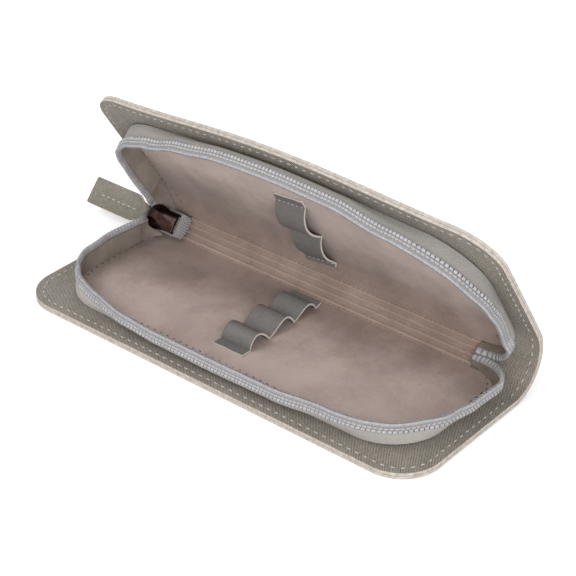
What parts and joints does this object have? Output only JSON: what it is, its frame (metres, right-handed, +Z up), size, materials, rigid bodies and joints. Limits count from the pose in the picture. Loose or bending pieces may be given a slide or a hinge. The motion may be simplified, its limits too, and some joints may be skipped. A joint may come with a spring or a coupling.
{
  "type": "tweezer storage case",
  "caption": "Zip-round storage case for tweezers: two pocketed halves fold on a soft ribbed spine, with sewn loops inside and a leather zip pull.",
  "frame": {"origin": "middle of the lower cover's underside, on the surface that the case rests on", "axes": "+X along the case towards the end away from the pull tab, +Y towards the spine, +Z up from the resting face"},
  "size_m": [0.2002, 0.0723, 0.0717],
  "materials": {
    "cover_leather": "cross-grained taupe-grey leather",
    "flange_leather": "cross-grained taupe-grey leather",
    "board": "pressed fibre board",
    "suede": "dusty pink-taupe suede",
    "ribbed_suede": "dusty pink-taupe suede, ribbed",
    "zip_tape": "woven light grey tape",
    "gusset_lining": "smooth taupe lining",
    "zip_coil": "silver-grey nylon",
    "loop_strip": "smooth grey leather with a pale cut edge",
    "slider_metal": "polished dark metal",
    "tab_leather": "cross-grained taupe-grey leather with a painted edge"
  },
  "bodies": {
    "lower_half": {"lower_cover_outer": "cover_leather", "lower_cover_facing": "flange_leather", "lower_stiffener_board": "board", "lower_suede_lining": "suede", "lower_zip_tape": "zip_tape", "lower_gusset_lining": "gusset_lining", "lower_zip_coil": "zip_coil", "lower_loop_strip": "loop_strip"},
    "spine": {"spine_cover_outer": "cover_leather", "spine_cover_facing": "flange_leather", "spine_suede_lower": "suede", "spine_suede_upper": "suede", "spine_ribbed_lining": "ribbed_suede", "lower_left_tape_end": "zip_tape", "lower_right_tape_end": "zip_tape", "lower_back_loop": "loop_strip", "upper_left_tape_end": "zip_tape", "upper_right_tape_end": "zip_tape", "upper_back_loop": "loop_strip", "zip_tail_tape": "zip_tape", "zip_tail_chain": "zip_coil"},
    "upper_half": {"upper_cover_outer": "cover_leather", "upper_cover_facing": "flange_leather", "upper_stiffener_board": "board", "upper_suede_lining": "suede", "upper_zip_tape": "zip_tape", "upper_gusset_lining": "gusset_lining", "upper_zip_coil": "zip_coil", "upper_loop_strip": "loop_strip"},
    "slider": {"slider_body": "slider_metal"},
    "link": {"puller_link": "slider_metal"},
    "tab": {"pull_tab": "tab_leather"}
  },
  "joints": [
    {"name": "lower_fold", "type": "hinge", "parent": "lower_half", "child": "spine", "pos_m": [0, 0.0286, 0.0022], "axis": [1, 0, 0], "range_deg": [-30, 29.1], "deforming": ["lower_left_tape_end", "lower_right_tape_end", "lower_back_loop"]},
    {"name": "upper_fold", "type": "hinge", "parent": "spine", "child": "upper_half", "pos_m": [0, 0.03956, 0.0219], "axis": [1, 0, 0], "range_deg": [-30, 29.1], "deforming": ["upper_left_tape_end", "upper_right_tape_end", "upper_back_loop"]},
    {"name": "slider_run", "type": "slide", "parent": "spine", "child": "slider", "axis": [-1, 0, 0], "range_m": [0, 0.004]},
    {"name": "link_swing", "type": "hinge", "parent": "slider", "child": "link", "pos_m": [-0.0762, 0.03562, 0.00878], "axis": [0, 0.6691, 0.7431], "range_deg": [-4, 4]},
    {"name": "tab_swing", "type": "hinge", "parent": "link", "child": "tab", "pos_m": [-0.0843, 0.03562, 0.00878], "axis": [0, 0.6691, 0.7431], "range_deg": [-9, 25]}
  ],
  "couplings": [
    {"joint": "upper_fold", "follows": "lower_fold", "ratio": 1}
  ]
}
